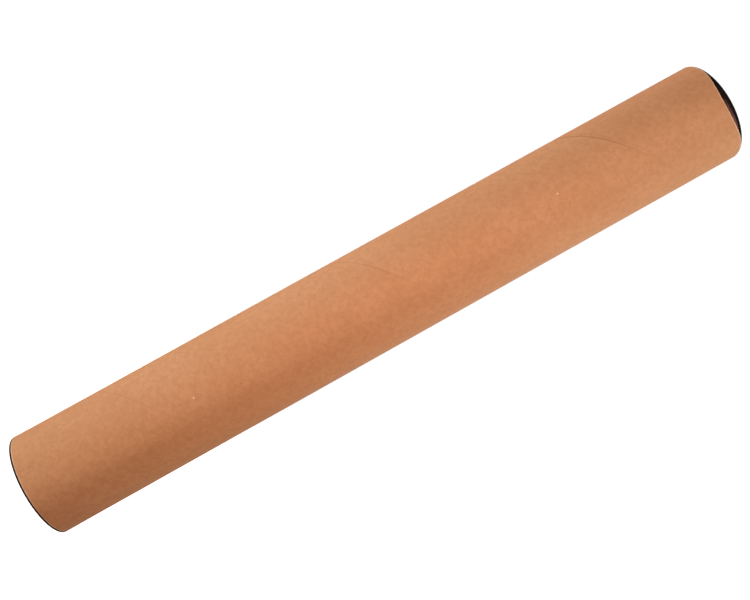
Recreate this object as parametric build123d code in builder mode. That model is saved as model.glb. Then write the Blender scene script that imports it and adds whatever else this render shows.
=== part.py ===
from build123d import *

import math
import os

# A spiral-wound cardboard mailing tube, closed at each end by a push-in plastic plug.
# Millimetres. The tube stands on its lower plug, +Z up along its axis. The origin is the
# centre of the lower plug's face, and the thumb notch in the upper rim looks along -Y.

# The tube: kraft-faced chipboard, wound on a mandrel and sawn off square.
BORE_DIAMETER = 80.0
WALL = 2.0
TUBE_LENGTH = 610.0

# The thumb notch: a shallow arc in the upper rim that eases out over a shoulder at each side.
NOTCH_CHORD = 76.0  # from where one shoulder leaves the rim to where the other meets it
NOTCH_DEPTH = 4.8
NOTCH_ARC_RADIUS = 91.0
NOTCH_EASE = 0.05  # how far above the rim the shoulders level out, so that they cross it cleanly

# A plug: one moulding, a cup sunk in the bore with a flange that seats on the tube's end.
# A setback is how far the flange's edge stops short of the tube's outer face.
LOWER_FLANGE_THICKNESS = 1.4
LOWER_FLANGE_SETBACK = 0.1
UPPER_FLANGE_THICKNESS = 0.8
UPPER_FLANGE_SETBACK = 0.4
FLANGE_ROUND = 0.3
SKIRT_GAP = 0.35  # between the skirt and the bore, at the flange
SKIRT_TAPER = 0.5  # how much the skirt's radius narrows towards its inner end
CUP_DEPTH = 24.0  # from the plug's outer face to its inner end
CUP_WALL = 1.4
CUP_FLOOR = 1.2
CUP_CORNER = 2.5  # the inside corner between the cup's wall and its floor
MOUTH_ROUND = 0.8
LEAD_IN = 1.2

# The grip rings round the skirt, which rub in the bore.
RING_COUNT = 3
RING_CREST_GAP = 0.05  # between a ring's crest and the bore
RING_WIDTH = 1.6
FIRST_RING_DEPTH = 6.5  # from the plug's outer face to the first ring's middle
RING_PITCH = 5.0

# The gate mark: a stub of the sprue in a dimple, in the middle of the cup's floor.
GATE_DIAMETER = 2.6
GATE_SINK = 0.2  # from the floor down to the stub's top
DIMPLE_DIAMETER = 9.0
DIMPLE_DEPTH = 0.5

bore_radius = BORE_DIAMETER / 2
tube_radius = bore_radius + WALL
tube_bottom = LOWER_FLANGE_THICKNESS
tube_top = tube_bottom + TUBE_LENGTH
overall_length = tube_top + UPPER_FLANGE_THICKNESS

notch_reach = NOTCH_CHORD / 2
notch_drop = NOTCH_DEPTH + NOTCH_EASE
notch_radii = (notch_reach**2 + notch_drop**2) / (2 * notch_drop)  # the arc's radius plus a shoulder's
notch_turn = math.asin(notch_reach / notch_radii)
notch_bottom = tube_top - NOTCH_DEPTH
shoulder_start = (
    NOTCH_ARC_RADIUS * math.sin(notch_turn),
    notch_bottom + NOTCH_ARC_RADIUS * (1 - math.cos(notch_turn)),
)

skirt_radius = bore_radius - SKIRT_GAP
skirt_end_radius = skirt_radius - SKIRT_TAPER
mouth_radius = skirt_radius - CUP_WALL
floor_radius = skirt_end_radius - CUP_WALL
ring_radius = bore_radius - RING_CREST_GAP
ring_foot_radius = skirt_radius - CUP_WALL / 2
floor_depth = CUP_DEPTH - CUP_FLOOR

os.makedirs("parts", exist_ok=True)


# ---- the tube ----
with BuildPart() as tube:
    with BuildSketch(Plane.XY.offset(tube_bottom)):
        Circle(tube_radius)
        Circle(bore_radius, mode=Mode.SUBTRACT)
    extrude(amount=TUBE_LENGTH)

    # The notch goes through the near wall only.
    with BuildSketch(Plane.XZ):
        with BuildLine():
            TangentArc((0, notch_bottom), shoulder_start, tangent=(1, 0))
            TangentArc((notch_reach, tube_top + NOTCH_EASE), shoulder_start, tangent=(-1, 0))
            Line((notch_reach, tube_top + NOTCH_EASE), (0, tube_top + NOTCH_EASE))
            mirror(about=Plane.YZ)
        make_face()
    extrude(amount=tube_radius, mode=Mode.SUBTRACT)

tube.part.label = "tube"
export_step(tube.part, "parts/tube.step")


# ---- the two plugs ----
def make_plug(label, section, flange_radius, flange_thickness):
    """Make one plug on a section plane whose X is the radius and whose Y is the depth into the tube."""
    with BuildPart() as plug:
        # The cup and its flange.
        with BuildSketch(section):
            with BuildLine():
                Polyline(
                    (0, floor_depth),
                    (floor_radius, floor_depth),
                    (mouth_radius, 0),
                    (flange_radius, 0),
                    (flange_radius, flange_thickness),
                    (skirt_radius, flange_thickness),
                    (skirt_end_radius, CUP_DEPTH - LEAD_IN),
                    (skirt_end_radius - LEAD_IN, CUP_DEPTH),
                    (0, CUP_DEPTH),
                    close=True,
                )
            make_face()
        revolve(axis=Axis.Z)

        # The edges that a hand meets are rounded, and so is the corner where dirt would sit.
        rims = plug.edges().filter_by(GeomType.CIRCLE)
        fillet(rims.filter_by(lambda rim: abs(rim.radius - flange_radius) < 0.001), FLANGE_ROUND)
        fillet(rims.filter_by(lambda rim: abs(rim.radius - mouth_radius) < 0.001), MOUTH_ROUND)
        fillet(rims.filter_by(lambda rim: abs(rim.radius - floor_radius) < 0.001), CUP_CORNER)

        # Each grip ring is a low ridge with a crowned crest, rooted in the skirt.
        for number in range(RING_COUNT):
            middle = FIRST_RING_DEPTH + number * RING_PITCH
            with BuildSketch(section):
                with BuildLine():
                    Polyline(
                        (skirt_end_radius, middle + RING_WIDTH / 2),
                        (ring_foot_radius, middle + RING_WIDTH / 2),
                        (ring_foot_radius, middle - RING_WIDTH / 2),
                        (skirt_end_radius, middle - RING_WIDTH / 2),
                    )
                    ThreePointArc(
                        (skirt_end_radius, middle - RING_WIDTH / 2),
                        (ring_radius, middle),
                        (skirt_end_radius, middle + RING_WIDTH / 2),
                    )
                make_face()
            revolve(axis=Axis.Z)

        # The gate's dimple, cut round the stub that is left standing in it.
        with BuildSketch(section):
            with BuildLine():
                Polyline(
                    (0, floor_depth),
                    (DIMPLE_DIAMETER / 2, floor_depth),
                    (DIMPLE_DIAMETER / 2, floor_depth + DIMPLE_DEPTH),
                    (GATE_DIAMETER / 2, floor_depth + DIMPLE_DEPTH),
                    (GATE_DIAMETER / 2, floor_depth + GATE_SINK),
                    (0, floor_depth + GATE_SINK),
                    close=True,
                )
            make_face()
        revolve(axis=Axis.Z, mode=Mode.SUBTRACT)

    plug.part.label = label
    export_step(plug.part, f"parts/{label}.step")
    return plug


lower_plug = make_plug(
    "lower_plug",
    Plane(origin=(0, 0, 0), x_dir=(1, 0, 0), z_dir=(0, -1, 0)),
    tube_radius - LOWER_FLANGE_SETBACK,
    LOWER_FLANGE_THICKNESS,
)
upper_plug = make_plug(
    "upper_plug",
    Plane(origin=(0, 0, overall_length), x_dir=(1, 0, 0), z_dir=(0, 1, 0)),
    tube_radius - UPPER_FLANGE_SETBACK,
    UPPER_FLANGE_THICKNESS,
)
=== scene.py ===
"""A spiral-wound cardboard mailing tube standing on its end, with a black plastic plug in each end."""

import math

import bmesh
import bpy
from mathutils import Matrix, Quaternion, Vector, noise


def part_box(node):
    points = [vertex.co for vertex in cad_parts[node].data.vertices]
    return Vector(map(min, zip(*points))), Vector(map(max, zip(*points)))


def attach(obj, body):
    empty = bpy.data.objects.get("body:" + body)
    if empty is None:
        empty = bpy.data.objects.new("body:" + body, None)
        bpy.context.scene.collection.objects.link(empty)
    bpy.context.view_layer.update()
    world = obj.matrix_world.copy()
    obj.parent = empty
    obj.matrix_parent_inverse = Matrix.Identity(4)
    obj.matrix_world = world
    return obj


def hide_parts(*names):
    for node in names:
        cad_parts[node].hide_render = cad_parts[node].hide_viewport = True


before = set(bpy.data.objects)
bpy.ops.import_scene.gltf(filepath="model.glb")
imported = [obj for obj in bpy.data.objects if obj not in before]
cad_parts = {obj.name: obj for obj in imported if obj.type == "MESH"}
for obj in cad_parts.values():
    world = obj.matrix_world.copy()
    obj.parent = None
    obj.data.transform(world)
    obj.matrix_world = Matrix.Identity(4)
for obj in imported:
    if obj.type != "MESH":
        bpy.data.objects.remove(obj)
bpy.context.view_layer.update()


# ---- The tube ----
# One wall of board, about 2 mm thick: chipboard plies with a kraft paper face, glued and wound
# round a mandrel like a screw thread, then sawn off square. The face paper's edges meet in one
# helical seam. The upper rim has a shallow thumb notch that eases out over a shoulder at each side.
tube_low, tube_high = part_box("tube")
tube_radius = (tube_high.x - tube_low.x) / 2
wall = 0.002
paper_inset = 0.00008  # how far each paper lies inside the wall's nominal face
face_radius = tube_radius - paper_inset
bore_radius = tube_radius - wall
wave_depth = 0.00008
waves = ((22, 0.5), (75, 0.25))  # how quickly each changes along the board, and its share of the depth

# The winding: each paper is one long strip, whose two edges dip into the seam between its turns.
lead = 0.2056  # how far the winding climbs in one turn
face_seam_height = 0.1697  # where the face's seam crosses the +X side
bore_seam_height = 0.0930
face_seam_depth = 0.00005
bore_seam_depth = 0.0002
seam_half_width = 0.00022
# How far from the strip's edge, in seam half widths, and what share of the seam's depth.
lower_edge_dip = ((0.0, 1.0), (0.5, 0.9), (1.0, 0.1))
upper_edge_dip = ((1.0, 0.3), (0.5, 0.9), (0.0, 1.0))
turn_steps = 180
row_height = 0.004

# The thumb notch: an arc with a shoulder at each side.
notch_reach = 0.038  # from the notch's middle to where its shoulders leave the rim
notch_depth = 0.0048
notch_arc_radius = 0.091
notch_ease = 0.00005  # how far above the rim the shoulders level out
notch_steps = 40

# The sawn edge: how deep each glue line lies in the wall, and how far its crevice sinks below the cut.
crevices = ((0.00028, 0.00008), (0.00084, 0.00007), (0.00138, 0.00007))
crevice_half_width = 0.00004
rim_drop = 0.00006
rim_width = 0.00008
liner_edge = 0.00164
# Its points from the face inwards: how deep in the wall, and how far below the cut.
sawn_edge = [(rim_width, 0)]
for glue_depth, sink in crevices:
    sawn_edge += [(glue_depth - crevice_half_width, 0), (glue_depth, sink)]
    sawn_edge += [(glue_depth + crevice_half_width, 0)]
sawn_edge += [(liner_edge, 0)]

KRAFT, PLIES, LINER = 0, 1, 2  # the wall's material slots
board_crease = math.radians(35)  # an edge sharper than this is shaded as a crease
welded = 0.00002  # the paper's points that are nearer than this become one
close_by = 0.00001  # a point this near to a height or a radius lies on it
touching = 0.000001  # what is nearer than this has no size


def wound_ply(radius, seam_height, seam_depth, outward):
    """A helical strip of paper on a cylinder, its two edges dipping into the seam where its turns meet."""
    rows = round(lead / row_height)
    step = (lead - 4 * seam_half_width) / rows
    dip = -seam_depth if outward else seam_depth
    profile = [(radius + share * dip, away * seam_half_width) for away, share in lower_edge_dip]
    profile += [(radius, 2 * seam_half_width + row * step) for row in range(rows + 1)]
    profile += [(radius + share * dip, lead - away * seam_half_width) for away, share in upper_edge_dip]

    turns_below = math.ceil((seam_height - tube_low.z) / lead) + 1
    start = seam_height - turns_below * lead
    turns = math.ceil((tube_high.z - start) / lead) + 1
    ply = bmesh.new()
    chain = [ply.verts.new((r, 0, start + rise)) for r, rise in profile]
    edges = [ply.edges.new(pair) for pair in zip(chain, chain[1:])]
    bmesh.ops.spin(
        ply,
        geom=chain + edges,
        axis=(0, 0, 1),
        dvec=(0, 0, lead / turn_steps),
        angle=2 * math.pi,
        steps=turn_steps,
    )
    one_turn = ply.verts[:] + ply.edges[:] + ply.faces[:]
    for turn in range(1, turns):
        copied = bmesh.ops.duplicate(ply, geom=one_turn)["geom"]
        risen = [part for part in copied if isinstance(part, bmesh.types.BMVert)]
        bmesh.ops.translate(ply, verts=risen, vec=(0, 0, turn * lead))
    bmesh.ops.remove_doubles(ply, verts=ply.verts, dist=welded)
    for height, away in ((tube_low.z, -1), (tube_high.z, 1)):
        bmesh.ops.bisect_plane(
            ply,
            geom=ply.verts[:] + ply.edges[:] + ply.faces[:],
            plane_co=(0, 0, height),
            plane_no=(0, 0, away),
            clear_outer=True,
            dist=touching,
        )
    into_wall = (-1 if outward else 1) * sum(share for rate, share in waves)
    for vert in ply.verts:
        side = Vector((vert.co.x, vert.co.y, 0)).normalized()
        wave = sum(noise.noise(vert.co * rate) * share for rate, share in waves)
        vert.co += side * (wave_depth * (wave + into_wall))
    for face in ply.faces:
        face.material_index = KRAFT if outward else LINER
    return ply


def saw_end(board, height, into_tube):
    """Close one sawn end, from the face's rim to the bore's rim, with a fine crevice between the plies."""
    open_edges = [edge for edge in board.edges if edge.is_boundary]
    rims = [edge for edge in open_edges if abs(edge.verts[0].co.z - height) < close_by]
    mid_wall = face_radius - wall / 2
    rim = [edge for edge in rims if edge.verts[0].co.xy.length > mid_wall]
    bore_rim = [edge for edge in rims if edge.verts[0].co.xy.length < mid_wall]
    radius, sunk = face_radius, rim_drop
    rim_verts = {vert for edge in rim for vert in edge.verts}
    bmesh.ops.translate(board, verts=list(rim_verts), vec=(0, 0, rim_drop * into_tube))
    for depth, sink in sawn_edge:
        grown = bmesh.ops.extrude_edge_only(board, edges=rim)["geom"]
        moved = [part for part in grown if isinstance(part, bmesh.types.BMVert)]
        rim = [part for part in grown if isinstance(part, bmesh.types.BMEdge)]
        shrink = (face_radius - depth) / radius
        bmesh.ops.scale(board, verts=moved, vec=(shrink, shrink, 1))
        bmesh.ops.translate(board, verts=moved, vec=(0, 0, (sink - sunk) * into_tube))
        radius, sunk = face_radius - depth, sink
        for part in grown:
            if isinstance(part, bmesh.types.BMFace):
                part.material_index = PLIES
    closing = bmesh.ops.triangle_fill(board, edges=rim + bore_rim, normal=(0, 0, -into_tube))["geom"]
    for part in closing:
        if isinstance(part, bmesh.types.BMFace):
            part.material_index = PLIES


board = bmesh.new()
for ply in (
    wound_ply(face_radius, face_seam_height, face_seam_depth, outward=True),
    wound_ply(bore_radius + paper_inset, bore_seam_height, bore_seam_depth, outward=False),
):
    ply_mesh = bpy.data.meshes.new("ply")
    ply.to_mesh(ply_mesh)
    board.from_mesh(ply_mesh)
    bpy.data.meshes.remove(ply_mesh)
    ply.free()
saw_end(board, tube_low.z, 1)
saw_end(board, tube_high.z, -1)
bmesh.ops.recalc_face_normals(board, faces=board.faces)

# The notch's punch: half its outline, mirrored, closed, and drawn out through the near wall.
notch_drop = notch_depth + notch_ease
shoulder_radius = (notch_reach**2 + notch_drop**2) / (2 * notch_drop) - notch_arc_radius
notch_turn = math.asin(notch_reach / (notch_arc_radius + shoulder_radius))
notch_bottom = tube_high.z - notch_depth
punch = bmesh.new()
middle = punch.verts.new((0, 0, notch_bottom))
arc = bmesh.ops.spin(
    punch,
    geom=[middle],
    cent=(0, 0, notch_bottom + notch_arc_radius),
    axis=(0, -1, 0),
    angle=notch_turn,
    steps=notch_steps,
)["geom_last"]
shoulder = bmesh.ops.spin(
    punch,
    geom=arc,
    cent=(notch_reach, 0, tube_high.z + notch_ease - shoulder_radius),
    axis=(0, 1, 0),
    angle=notch_turn,
    steps=notch_steps,
)["geom_last"]
raised = bmesh.ops.extrude_vert_indiv(punch, verts=shoulder)["verts"]
bmesh.ops.translate(punch, verts=raised, vec=(0, 0, notch_depth))
bmesh.ops.mirror(punch, geom=punch.verts[:] + punch.edges[:], axis="X", merge_dist=touching)
bmesh.ops.contextual_create(punch, geom=[vert for vert in punch.verts if len(vert.link_edges) == 1])
bmesh.ops.contextual_create(punch, geom=punch.edges[:])
stamped = bmesh.ops.extrude_face_region(punch, geom=punch.faces[:])["geom"]
far_side = [part for part in stamped if isinstance(part, bmesh.types.BMVert)]
bmesh.ops.translate(punch, verts=far_side, vec=(0, -2 * face_radius, 0))
bmesh.ops.recalc_face_normals(punch, faces=punch.faces)
for face in punch.faces:
    face.material_index = PLIES


def finished(shape, name, materials, crease=board_crease):
    """Turn a bmesh into a smooth-shaded object that keeps its creases sharp."""
    mesh = bpy.data.meshes.new(name)
    shape.to_mesh(mesh)
    shape.free()
    for material in materials:
        mesh.materials.append(material)
    mesh.polygons.foreach_set("use_smooth", [True] * len(mesh.polygons))
    mesh.set_sharp_from_angle(angle=crease)
    piece = bpy.data.objects.new(name, mesh)
    bpy.context.scene.collection.objects.link(piece)
    return piece


def lay_ribbon(mesh, slot_seams):
    """Place each wound face on its strip, in metres: how far along it, and how far above its lower seam."""
    ribbon = mesh.uv_layers.new(name="ribbon")
    climb = lead / (2 * math.pi)
    for face in mesh.polygons:
        if face.material_index not in slot_seams:
            continue
        seam_height = slot_seams[face.material_index]
        middle = math.atan2(face.center.y, face.center.x)
        turn = math.floor((face.center.z - seam_height - climb * middle) / lead)
        for corner in face.loop_indices:
            at = mesh.vertices[mesh.loops[corner].vertex_index].co
            turned = middle + (math.atan2(at.y, at.x) - middle + math.pi) % (2 * math.pi) - math.pi
            along = (turned + 2 * math.pi * turn) * face_radius
            across = at.z - seam_height - climb * turned - lead * turn
            ribbon.uv[corner].vector = (along, across)


def add_node(tree, kind, feeds=None, **settings):
    """Add one shader node. Each of feeds is a value, or another node's output, for one of its sockets."""
    node = tree.nodes.new(kind)
    for name, value in settings.items():
        setattr(node, name, value)
    for socket, source in (feeds or {}).items():
        if isinstance(source, bpy.types.NodeSocket):
            tree.links.new(source, node.inputs[socket])
        else:
            node.inputs[socket].default_value = source
    return node


def calculate(tree, operation, first, second=0.0):
    """Work out one sum of two values, or of one where the operation takes one."""
    return add_node(tree, "ShaderNodeMath", {0: first, 1: second}, operation=operation).outputs[0]


def between(tree, value, low, high, out_low=0.0, out_high=1.0):
    """Ease a value from out_low to out_high as it goes from low to high."""
    feeds = {"Value": value, "From Min": low, "From Max": high, "To Min": out_low, "To Max": out_high}
    return add_node(tree, "ShaderNodeMapRange", feeds, interpolation_type="SMOOTHSTEP").outputs[0]


def tint(tree, amount, under, over):
    """Lay one colour over another, as much as the amount says."""
    feeds = {0: amount, 6: under, 7: over}
    return add_node(tree, "ShaderNodeMix", feeds, data_type="RGBA").outputs[2]


def placed(tree, place, scale, turn=0.0, shift=(0, 0, 0)):
    """Turn a place, then stretch and shift it, so that a pattern's grain is 1 / scale metres."""
    feeds = {"Vector": place, "Rotation": (0, 0, math.radians(turn))}
    turned = add_node(tree, "ShaderNodeMapping", feeds).outputs[0]
    feeds = {"Vector": turned, "Scale": scale, "Location": shift}
    return add_node(tree, "ShaderNodeMapping", feeds).outputs[0]


def clouds(tree, place, detail=3.0, roughness=0.5):
    """Soft uneven noise, about 0.5 on average."""
    feeds = {"Vector": place, "Scale": 1.0, "Detail": detail, "Roughness": roughness}
    return add_node(tree, "ShaderNodeTexNoise", feeds).outputs["Fac"]


def specks(tree, place, size, rarity):
    """Lone specks: the middles of a few of the cells that a scatter of points makes."""
    cells = add_node(tree, "ShaderNodeTexVoronoi", {"Vector": place, "Scale": 1.0})
    chosen = add_node(tree, "ShaderNodeSeparateColor", {0: cells.outputs["Color"]}).outputs[0]
    dot = between(tree, cells.outputs["Distance"], size, size * 0.5)
    return calculate(tree, "MULTIPLY", dot, between(tree, chosen, rarity, rarity + 0.01))


def rim_gap(tree, solid):
    """How far inside the nearer sawn end a point lies, following the notch on the near side."""
    parts = add_node(tree, "ShaderNodeSeparateXYZ", {0: solid}).outputs
    across = calculate(tree, "ABSOLUTE", parts[0])
    squared = calculate(tree, "MULTIPLY", across, across)
    arc_rise = calculate(tree, "SQRT", calculate(tree, "SUBTRACT", notch_arc_radius**2, squared))
    arc_dip = calculate(tree, "ADD", arc_rise, notch_depth - notch_arc_radius)
    inward = calculate(tree, "MAXIMUM", calculate(tree, "SUBTRACT", notch_reach, across), 0.0)
    squared = calculate(tree, "MULTIPLY", inward, inward)
    shoulder_rise = calculate(tree, "SQRT", calculate(tree, "SUBTRACT", shoulder_radius**2, squared))
    shoulder_dip = calculate(tree, "SUBTRACT", shoulder_radius - notch_ease, shoulder_rise)
    on_arc = calculate(tree, "LESS_THAN", across, notch_arc_radius * math.sin(notch_turn))
    dip = add_node(tree, "ShaderNodeMix", {0: on_arc, 2: shoulder_dip, 3: arc_dip}).outputs[0]
    near_side = calculate(tree, "LESS_THAN", parts[1], 0.0)
    dip = calculate(tree, "MULTIPLY", calculate(tree, "MAXIMUM", dip, 0.0), near_side)
    below_top = calculate(tree, "SUBTRACT", calculate(tree, "SUBTRACT", tube_high.z, parts[2]), dip)
    above_bottom = calculate(tree, "SUBTRACT", parts[2], tube_low.z)
    return calculate(tree, "MINIMUM", below_top, above_bottom)


def paper(name, tone, pale, dark, edge_wear_and_highlight, seam_shade, fibre_strength, flecks=()):
    """Machine-made paper: cloudy formation, fibres that lie mostly along the strip, shives and flecks."""
    material = bpy.data.materials.new(name)
    material.use_nodes = True
    tree = material.node_tree
    shader = tree.nodes["Principled BSDF"]
    strip = add_node(tree, "ShaderNodeUVMap", uv_map="ribbon").outputs[0]
    solid = add_node(tree, "ShaderNodeTexCoord").outputs["Object"]

    # Tone: broad uneven drying, the sheet's cloudy formation, its fine mottle, and faint calender streaks.
    broad = clouds(tree, placed(tree, strip, (9, 16, 1)), 2)
    formation = clouds(tree, placed(tree, solid, (225, 225, 225)), 3, 0.6)
    mottle = clouds(tree, placed(tree, solid, (560, 560, 560)), 2, 0.5)
    streaks = clouds(tree, placed(tree, strip, (5, 420, 1)), 3, 0.6)
    colour = tint(tree, between(tree, broad, 0.3, 0.7, 0.0, 0.35), tone, pale)
    for layer, low, high, most in (
        (formation, 0.32, 0.70, 0.42),
        (mottle, 0.35, 0.70, 0.20),
        (streaks, 0.45, 0.75, 0.05),
    ):
        colour = tint(tree, between(tree, layer, low, high, 0.0, most), colour, dark)

    # Fibres: three layers of fine hairs at different slants, some paler and some darker than the sheet.
    hairs = []
    for turn, shift in ((4, 0), (21, 17), (-26, 41)):
        hairs.append(clouds(tree, placed(tree, strip, (620, 6800, 1), turn, (shift, shift, 0)), 2, 0.55))
    for hair in hairs:
        lit = between(tree, hair, 0.60, 0.76, 0.0, fibre_strength)
        colour = tint(tree, lit, colour, pale)
        shaded = between(tree, hair, 0.40, 0.24, 0.0, fibre_strength)
        colour = tint(tree, shaded, colour, dark)

    # Shives of bark, and bleached flecks: a few anywhere, and any that are listed with their places.
    bark = (*(part * 0.45 for part in dark[:3]), 1)
    bleached = (0.78, 0.66, 0.52, 1)
    fleck_cream = (0.86, 0.62, 0.42, 1)
    fleck_radius = 0.0009
    shive = specks(tree, placed(tree, strip, (260, 620, 1), 12), 0.20, 0.86)
    colour = tint(tree, calculate(tree, "MULTIPLY", shive, 0.55), colour, bark)
    fleck = specks(tree, placed(tree, strip, (70, 110, 1), -9), 0.055, 0.97)
    colour = tint(tree, calculate(tree, "MULTIPLY", fleck, 0.8), colour, bleached)
    for turn, height in flecks:
        centre = (face_radius * math.sin(turn), -face_radius * math.cos(turn), height)
        off_fleck = add_node(tree, "ShaderNodeVectorMath", {0: solid, 1: centre}, operation="DISTANCE")
        lit = between(tree, off_fleck.outputs["Value"], fleck_radius, fleck_radius / 3, 0.0, 0.9)
        colour = tint(tree, lit, colour, fleck_cream)

    # The seam: glue and dust darken the joint between two turns. How strongly is painted shade: more towards
    # −X, where the light rakes the seam's groove, and towards the top.
    across = add_node(tree, "ShaderNodeSeparateXYZ", {0: strip}).outputs[1]
    to_seam = calculate(tree, "MINIMUM", across, calculate(tree, "SUBTRACT", lead, across))
    place = add_node(tree, "ShaderNodeSeparateXYZ", {0: solid}).outputs
    painted_raking_shade = between(tree, place[0], face_radius * 0.35, -face_radius * 0.7, 0.10, 1.0)
    painted_raking_shade = calculate(tree, "MULTIPLY", painted_raking_shade, between(tree, place[2], 0.2, 0.46, 0.22, 1.0))
    uneven = between(tree, clouds(tree, placed(tree, strip, (55, 0, 1)), 2), 0.3, 0.6, 0.45, 1.0)
    joint = calculate(tree, "MULTIPLY", between(tree, to_seam, 0.0009, 0.0003, 0.0, seam_shade), uneven)
    glue_brown = (0.200, 0.072, 0.020, 1)
    colour = tint(tree, calculate(tree, "MULTIPLY", joint, painted_raking_shade), colour, glue_brown)

    # The last millimetre before a sawn end is paler, unevenly: partly worn, fluffed fibres and partly a
    # painted highlight along the edge.
    rim_unevenness = between(tree, clouds(tree, placed(tree, solid, (260, 260, 260)), 2), 0.3, 0.6, 0.35, 0.9)
    rim_wear_and_highlight = calculate(tree, "MULTIPLY", between(tree, rim_gap(tree, solid), 0.0011, 0.0003), rim_unevenness)
    colour = tint(tree, rim_wear_and_highlight, colour, edge_wear_and_highlight)
    tree.links.new(colour, shader.inputs["Base Color"])

    # Height: the formation, the hairs, the pits between them, and the streaks.
    pits = clouds(tree, placed(tree, solid, (5200, 5200, 5200)), 2, 0.6)
    height = calculate(tree, "MULTIPLY", formation, 0.9)
    for part, weight in ((hairs[0], 0.5), (hairs[1], 0.4), (hairs[2], 0.4), (pits, 0.35), (streaks, 0.3)):
        height = calculate(tree, "ADD", height, calculate(tree, "MULTIPLY", part, weight))
    bump = add_node(tree, "ShaderNodeBump", {"Height": height, "Strength": 0.33, "Distance": 0.00010})
    tree.links.new(bump.outputs[0], shader.inputs["Normal"])
    tree.links.new(between(tree, formation, 0.3, 0.7, 0.90, 0.76), shader.inputs["Roughness"])
    shader.inputs["Specular IOR Level"].default_value = 0.14
    shader.inputs["Sheen Weight"].default_value = 0.04
    shader.inputs["Sheen Roughness"].default_value = 0.45
    return material


def chipboard_edge():
    """The sawn wall: a kraft edge, grey-brown chipboard plies inside it, and dark glue between them."""
    material = bpy.data.materials.new("sawn_chipboard")
    material.use_nodes = True
    tree = material.node_tree
    shader = tree.nodes["Principled BSDF"]
    solid = add_node(tree, "ShaderNodeTexCoord").outputs["Object"]
    flat = add_node(tree, "ShaderNodeVectorMath", {0: solid, 1: (1, 1, 0)}, operation="MULTIPLY").outputs[0]
    radius = add_node(tree, "ShaderNodeVectorMath", {0: flat}, operation="LENGTH").outputs["Value"]
    depth = calculate(tree, "SUBTRACT", face_radius, radius)
    wobble = clouds(tree, placed(tree, solid, (900, 900, 900)), 3, 0.6)
    depth = calculate(tree, "ADD", depth, between(tree, wobble, 0.2, 0.8, -0.00004, 0.00004))

    fuzz = clouds(tree, placed(tree, solid, (3800, 3800, 3800)), 3, 0.65)
    dark_chip, pale_chip = (0.30, 0.185, 0.105, 1), (0.46, 0.31, 0.19, 1)
    kraft_brown = (0.50, 0.255, 0.125, 1)
    glue_brown = (0.10, 0.055, 0.030, 1)
    colour = tint(tree, fuzz, dark_chip, pale_chip)
    kraft_depth = crevices[0][0]
    in_kraft = between(tree, depth, kraft_depth + crevice_half_width, kraft_depth - crevice_half_width)
    colour = tint(tree, in_kraft, colour, kraft_brown)
    for glue_depth, _ in crevices:
        off_line = calculate(tree, "ABSOLUTE", calculate(tree, "SUBTRACT", depth, glue_depth))
        line = between(tree, off_line, 0.00007, 0.00002, 0.0, 0.7)
        colour = tint(tree, line, colour, glue_brown)
    tree.links.new(colour, shader.inputs["Base Color"])
    bump = add_node(tree, "ShaderNodeBump", {"Height": fuzz, "Strength": 0.7, "Distance": 0.00012})
    tree.links.new(bump.outputs[0], shader.inputs["Normal"])
    shader.inputs["Roughness"].default_value = 0.93
    shader.inputs["Specular IOR Level"].default_value = 0.2
    return material


kraft = paper(
    "kraft_face",
    tone=(0.560, 0.275, 0.130, 1),
    pale=(0.640, 0.347, 0.179, 1),
    dark=(0.430, 0.191, 0.084, 1),
    edge_wear_and_highlight=(0.720, 0.462, 0.284, 1),
    seam_shade=0.50,
    fibre_strength=0.19,
    flecks=((math.radians(-2.6), 0.1410), (math.radians(-4.4), 0.4564)),
)
liner = paper(
    "bore_liner",
    tone=(0.420, 0.258, 0.143, 1),
    pale=(0.500, 0.330, 0.198, 1),
    dark=(0.305, 0.176, 0.094, 1),
    edge_wear_and_highlight=(0.520, 0.355, 0.220, 1),
    seam_shade=0.55,
    fibre_strength=0.40,
)
tube = finished(board, "tube_board", [kraft, chipboard_edge(), liner])

# The punch cuts the notch, and whatever has no width after the cut is dropped.
cutter = finished(punch, "notch_punch", list(tube.data.materials))
notch = tube.modifiers.new("thumb_notch", "BOOLEAN")
notch.object = cutter
notch.operation = "DIFFERENCE"
notch.solver = "EXACT"
notch.material_mode = "INDEX"
notched = bpy.data.meshes.new_from_object(tube.evaluated_get(bpy.context.evaluated_depsgraph_get()))
tube.modifiers.clear()
tube.data = notched
bpy.data.objects.remove(cutter)
cut_board = bmesh.new()
cut_board.from_mesh(notched)
bmesh.ops.dissolve_degenerate(cut_board, edges=cut_board.edges, dist=touching)
cut_board.to_mesh(notched)
cut_board.free()
notched.set_sharp_from_angle(angle=board_crease)
lay_ribbon(notched, {KRAFT: face_seam_height, LINER: bore_seam_height})
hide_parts("tube")
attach(tube, "tube_body")


# ---- The two plugs ----
# Each plug is one moulding in black polyethylene: a cup that is pushed into the bore until its lip
# seats on the board. Three rings round its skirt grip the bore. The cup's floor keeps the marks of
# the mould: the gate's stub in a dimple, and the pads that the ejector pins push on.
flash_height = 0.00003  # the parting line's flash round the lip
flash_share = 0.05  # half the flash's width, as a share of the lip's thickness
skirt_gap = 0.00035  # between the skirt and the bore, next to the lip
skirt_taper = 0.0005  # how much the skirt's radius narrows towards its inner end
skirt_radius = bore_radius - skirt_gap
skirt_end_radius = skirt_radius - skirt_taper
lead_in = 0.0012
cup_wall = 0.0014
cup_floor = 0.0012
mouth_radius = skirt_radius - cup_wall
cup_floor_radius = skirt_end_radius - cup_wall
plug_low, plug_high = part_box("lower_plug")
plug_depth = plug_high.z - plug_low.z  # the upper plug's too, from its outer face to its inner end
cup_depth = plug_depth - cup_floor
crest_gap = 0.00005  # between a ring's crest and the bore
ring_radius = bore_radius - crest_gap
ring_half_width = 0.0008
crest_half_width = 0.00028
ring_depths = (0.0065, 0.0115, 0.0165)
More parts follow.
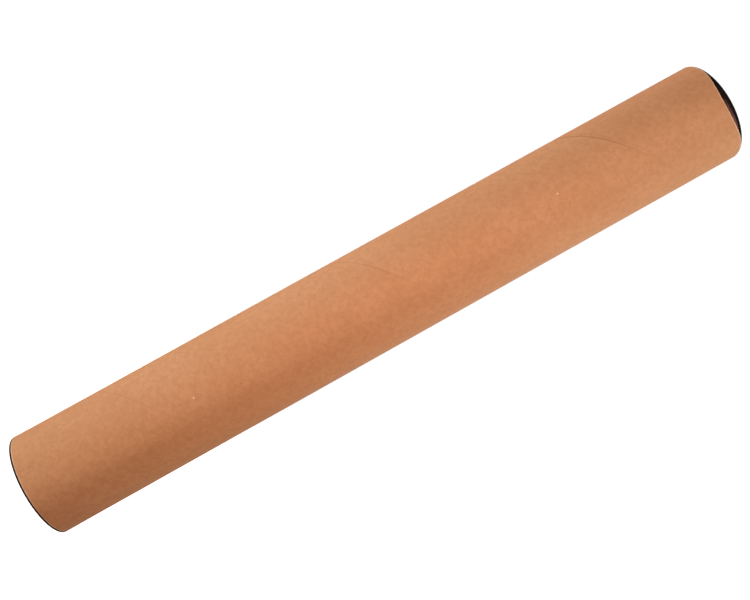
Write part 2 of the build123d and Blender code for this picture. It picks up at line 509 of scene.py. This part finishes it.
gate_radius = 0.0013
gate_sink = 0.0002  # from the cup's floor down to the stub's top
dimple_radius = 0.0045
dimple_depth = 0.0005
pad_count = 3
first_pad_turn = 0.4  # in radians from +X
pad_circle = 0.0240  # the pads' distance from the middle
pad_radius = 0.0030
pad_height = 0.00015
pad_steps = 40
plug_steps = 192
lip_round = 0.0003
mouth_round = 0.0008
cup_corner = 0.0025
dimple_round = 0.0002
gate_round = 0.0001
heel_round = 0.0004  # at both ends of the lead-in
crest_round = 0.0002
pad_round = 0.00006
plug_crease = math.radians(32)


def plug_moulding(outer_face, into_tube, lip_radius, lip_thickness):
    """Lathe one plug about Z from its outer face, round the edges that a mould rounds, and raise its pads."""
    stub_top = cup_depth + gate_sink
    dimple_floor = cup_depth + dimple_depth
    section = [(0, stub_top), (gate_radius, stub_top), (gate_radius, dimple_floor)]
    section += [(dimple_radius, dimple_floor), (dimple_radius, cup_depth), (cup_floor_radius, cup_depth)]
    section += [(mouth_radius, 0), (lip_radius, 0), (lip_radius, lip_thickness * (0.5 - flash_share))]
    section += [(lip_radius + flash_height, lip_thickness * 0.5)]
    section += [(lip_radius, lip_thickness * (0.5 + flash_share)), (lip_radius, lip_thickness)]
    section += [(skirt_radius, lip_thickness)]
    for middle in ring_depths:
        share = (middle - lip_thickness) / (plug_depth - lip_thickness)
        root = skirt_radius + (skirt_end_radius - skirt_radius) * share
        section += [(root, middle - ring_half_width), (ring_radius, middle - crest_half_width)]
        section += [(ring_radius, middle + crest_half_width), (root, middle + ring_half_width)]
    section += [(skirt_end_radius, plug_depth - lead_in), (skirt_end_radius - lead_in, plug_depth)]
    section += [(0, plug_depth)]

    plug = bmesh.new()
    chain = [plug.verts.new((radius, 0, outer_face + into_tube * depth)) for radius, depth in section]
    edges = [plug.edges.new(pair) for pair in zip(chain, chain[1:])]
    bmesh.ops.spin(
        plug, geom=chain + edges, axis=(0, 0, 1), angle=2 * math.pi, steps=plug_steps, use_merge=True
    )
    bmesh.ops.remove_doubles(plug, verts=plug.verts, dist=touching)
    roundings = [
        (lip_radius, 0, lip_round, 3),
        (lip_radius, lip_thickness, lip_round, 3),
        (mouth_radius, 0, mouth_round, 5),
        (cup_floor_radius, cup_depth, cup_corner, 7),
        (dimple_radius, cup_depth, dimple_round, 3),
        (gate_radius, stub_top, gate_round, 2),
        (skirt_end_radius - lead_in, plug_depth, heel_round, 3),
        (skirt_end_radius, plug_depth - lead_in, heel_round, 3),
    ]
    roundings += [(ring_radius, middle - crest_half_width, crest_round, 3) for middle in ring_depths]
    roundings += [(ring_radius, middle + crest_half_width, crest_round, 3) for middle in ring_depths]
    for radius, depth, size, segments in roundings:
        height = outer_face + into_tube * depth
        level = [vert for vert in plug.verts if abs(vert.co.z - height) < close_by]
        round_it = {vert for vert in level if abs(vert.co.xy.length - radius) < close_by}
        circle = [edge for edge in plug.edges if round_it.issuperset(edge.verts)]
        bmesh.ops.bevel(
            plug, geom=circle, offset=size, segments=segments, profile=0.5, affect="EDGES", material=-1
        )
    for number in range(pad_count):
        turn = first_pad_turn + 2 * math.pi * number / pad_count
        across, along = pad_circle * math.cos(turn), pad_circle * math.sin(turn)
        pad = bmesh.ops.create_cone(
            plug,
            cap_ends=True,
            segments=pad_steps,
            radius1=pad_radius,
            radius2=pad_radius,
            depth=2 * pad_height,
            matrix=Matrix.Translation((across, along, outer_face + into_tube * cup_depth)),
        )
        pad_verts = set(pad["verts"])
        pad_edges = [edge for edge in plug.edges if pad_verts.issuperset(edge.verts)]
        rims = [edge for edge in pad_edges if abs(edge.calc_face_angle()) > 1]
        bmesh.ops.bevel(
            plug, geom=rims, offset=pad_round, segments=2, profile=0.5, affect="EDGES", material=-1
        )
    bmesh.ops.recalc_face_normals(plug, faces=plug.faces)
    return plug


def moulded_polyethylene(name, outer_face):
    """Black moulded plastic: spark-eroded skin, rings left by the turned core, scuffs, board dust, and
    painted bounce light on the skirt that the notch bares.
    """
    material = bpy.data.materials.new(name)
    material.use_nodes = True
    tree = material.node_tree
    shader = tree.nodes["Principled BSDF"]
    solid = add_node(tree, "ShaderNodeTexCoord").outputs["Object"]
    skin = clouds(tree, placed(tree, solid, (2600, 2600, 2600)), 3, 0.6)
    flow = clouds(tree, placed(tree, solid, (60, 60, 60)), 3, 0.6)
    scuff = clouds(tree, placed(tree, solid, (1500, 90, 420), 31), 3, 0.6)
    dust_and_bounce_noise = clouds(tree, placed(tree, solid, (330, 330, 330)), 5, 0.75)

    # Tone: black, a little uneven where the plastic flowed, and greyer inside the cup.
    deep_black, flow_black = (0.0060, 0.0036, 0.0032, 1), (0.0090, 0.0056, 0.0050, 1)
    cup_grey = (0.026, 0.025, 0.025, 1)
    colour = tint(tree, between(tree, flow, 0.3, 0.7), deep_black, flow_black)
    flat = add_node(tree, "ShaderNodeVectorMath", {0: solid, 1: (1, 1, 0)}, operation="MULTIPLY").outputs[0]
    radius = add_node(tree, "ShaderNodeVectorMath", {0: flat}, operation="LENGTH").outputs["Value"]
    place = add_node(tree, "ShaderNodeSeparateXYZ", {0: solid}).outputs
    depth = calculate(tree, "ABSOLUTE", calculate(tree, "SUBTRACT", place[2], outer_face))
    in_cup = between(tree, radius, mouth_radius, mouth_radius - cup_wall / 2)
    colour = tint(tree, in_cup, colour, cup_grey)

    # Painted warm bounce light from the board browns the skirt that the notch lays bare, on its +X side;
    # board dust lies thin all over.
    painted_bounce_brown = (0.135, 0.047, 0.040, 1)
    scuffed_grey = (0.050, 0.044, 0.040, 1)
    dust_brown = (0.200, 0.125, 0.075, 1)
    below_rim = rim_gap(tree, solid)
    painted_bounce = between(tree, below_rim, 0.0, -0.0012)
    for inside in (
        between(tree, below_rim, -0.0042, -0.0022),
        between(tree, place[0], -0.008, 0.004),
        between(tree, radius, skirt_radius - cup_wall / 2, skirt_end_radius),
        between(tree, radius, ring_radius + 0.0003, ring_radius),
        between(tree, depth, 0.0008, 0.0012),
        between(tree, dust_and_bounce_noise, 0.25, 0.60, 0.60, 1.0),
    ):
        painted_bounce = calculate(tree, "MULTIPLY", painted_bounce, inside)
    # painted bounce light on the bared skirt
    colour = tint(tree, painted_bounce, colour, painted_bounce_brown)
    colour = tint(tree, between(tree, scuff, 0.66, 0.80, 0.0, 0.4), colour, scuffed_grey)
    colour = tint(tree, between(tree, dust_and_bounce_noise, 0.60, 0.80, 0.0, 0.22), colour, dust_brown)
    tree.links.new(colour, shader.inputs["Base Color"])

    # Height: the eroded skin all over, and fine turned rings on the cup's floor.
    turning_pitch = 0.0007
    turned = calculate(tree, "SINE", calculate(tree, "MULTIPLY", radius, 2 * math.pi / turning_pitch))
    off_floor = calculate(tree, "ABSOLUTE", calculate(tree, "SUBTRACT", depth, cup_depth))
    on_floor = between(tree, off_floor, 0.0004, 0.0001)
    turned = calculate(tree, "MULTIPLY", turned, calculate(tree, "MULTIPLY", on_floor, 0.12))
    height = calculate(tree, "ADD", turned, skin)
    bump = add_node(tree, "ShaderNodeBump", {"Height": height, "Strength": 0.35, "Distance": 0.00006})
    tree.links.new(bump.outputs[0], shader.inputs["Normal"])
    dull = between(tree, dust_and_bounce_noise, 0.45, 0.75, 0.56, 0.76)
    tree.links.new(dull, shader.inputs["Roughness"])
    shader.inputs["Specular IOR Level"].default_value = 0.20
    return material


for node, body, into_tube in (("lower_plug", "lower_plug_body", 1), ("upper_plug", "upper_plug_body", -1)):
    low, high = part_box(node)
    outer_face = low.z if into_tube == 1 else high.z
    plastic = moulded_polyethylene(node + "_plastic", outer_face)
    lip_radius = (high.x - low.x) / 2 - flash_height
    lip_thickness = abs(outer_face - (tube_low.z if into_tube == 1 else tube_high.z))
    moulding = plug_moulding(outer_face, into_tube, lip_radius, lip_thickness)
    plug = finished(moulding, node + "_moulding", [plastic], plug_crease)
    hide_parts(node)
    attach(plug, body)


# ---- The studio ----
# A white floor that is clear from below, white air, five soft lamps round the tube, one above it and
# one below, and a camera held on its side, so that the standing tube lies across the view from the
# lower left to the upper right.
floor_radius = 12.0
camera_turn = math.radians(-1.64)  # how far round the tube the camera stands from the notch's middle
white = bpy.data.materials.new("floor_white")
white.use_nodes = True
white_tree = white.node_tree
white_shader = white_tree.nodes["Principled BSDF"]
white_shader.inputs["Base Color"].default_value = (0.9, 0.9, 0.9, 1)
white_shader.inputs["Roughness"].default_value = 0.9
white_shader.inputs["Emission Color"].default_value = (1, 1, 1, 1)
spot = add_node(white_tree, "ShaderNodeTexCoord").outputs["Object"]
from_tube = add_node(white_tree, "ShaderNodeVectorMath", {0: spot}, operation="LENGTH").outputs["Value"]
glow = between(white_tree, from_tube, 0.04, 0.5, 0.80, 1.0)
white_tree.links.new(glow, white_shader.inputs["Emission Strength"])
underside = add_node(white_tree, "ShaderNodeNewGeometry").outputs["Backfacing"]
clear = add_node(white_tree, "ShaderNodeBsdfTransparent").outputs[0]
sides = {0: underside, 1: white_shader.outputs[0], 2: clear}
one_sided = add_node(white_tree, "ShaderNodeMixShader", sides).outputs[0]
white_tree.links.new(one_sided, white_tree.nodes["Material Output"].inputs["Surface"])
ground = bmesh.new()
bmesh.ops.create_circle(ground, cap_ends=True, segments=96, radius=floor_radius)
floor = finished(ground, "floor", [white])
floor.visible_diffuse = False  # its glow whitens the view but neither lights the tube
floor.visible_glossy = False  # nor shines in the plugs' rims
floor.visible_shadow = False  # the lamp below shines through it

air = bpy.data.worlds.new("studio_air")
air.use_nodes = True
bpy.context.scene.world = air
sky = air.node_tree
seen = add_node(sky, "ShaderNodeLightPath").outputs["Is Camera Ray"]
backdrop = sky.nodes["Background"]
backdrop.inputs["Color"].default_value = (1, 1, 1, 1)
sky.links.new(between(sky, seen, 0.0, 1.0, 0.06, 1.05), backdrop.inputs["Strength"])
lowest_aim, highest_aim = 0.1, 0.5  # the heights on the tube's axis between which the lamps point


def lamp(name, turn, distance, height, size, watts):
    """Hang a soft round lamp: turn is in degrees round the tube from the camera, watts red, green, blue."""
    light = bpy.data.lights.new(name, "AREA")
    light.shape = "DISK"
    light.size = size
    light.energy = max(watts)
    light.color = tuple(part / max(watts) for part in watts)
    holder = bpy.data.objects.new(name, light)
    angle = camera_turn + math.radians(turn)
    holder.location = (distance * math.sin(angle), -distance * math.cos(angle), height)
    aim = Vector((0, 0, min(max(height, lowest_aim), highest_aim)))
    holder.rotation_mode = "QUATERNION"
    holder.rotation_quaternion = (aim - holder.location).to_track_quat("-Z", "Y")
    holder.visible_camera = False
    bpy.context.scene.collection.objects.link(holder)


lamp("key", -60, 0.9, 0.16, 0.30, (7.7, 7.6, 7.7))
lamp("right_fill", 60, 0.6, 0.65, 0.45, (2.45, 2.95, 3.25))
lamp("warm_fill", 30, 0.6, 0.35, 0.45, (2.1, 1.05, 0.55))
lamp("warm_rim", -120, 1.3, 1.2, 0.90, (10.3, 6.2, 4.3))
lamp("back", 150, 1.3, 0.6, 0.90, (7.2, 6.9, 6.8))
lamp("above", 0, 0.0, 1.5, 0.12, (5.0, 5.0, 5.0))
lamp("below", 0, 0.0, -0.9, 0.12, (5.0, 5.0, 5.0))

round_tube = Quaternion((0, 0, 1), camera_turn)
eye = round_tube @ Vector((0.0, -0.7261, 0.2479))
looks_at = round_tube @ Vector((0.00129, 0.0, 0.29711))
roll = math.radians(60.92)
camera = bpy.data.objects.new("camera", bpy.data.cameras.new("camera"))
camera.data.lens = 43.705
camera.data.sensor_width = 36
camera.location = eye
camera.rotation_mode = "QUATERNION"
camera.rotation_quaternion = (looks_at - eye).to_track_quat("-Z", "Y") @ Quaternion((0, 0, 1), roll)
bpy.context.scene.collection.objects.link(camera)
bpy.context.scene.camera = camera
bpy.context.scene.view_settings.view_transform = "Standard"

bpy.context.view_layer.update()
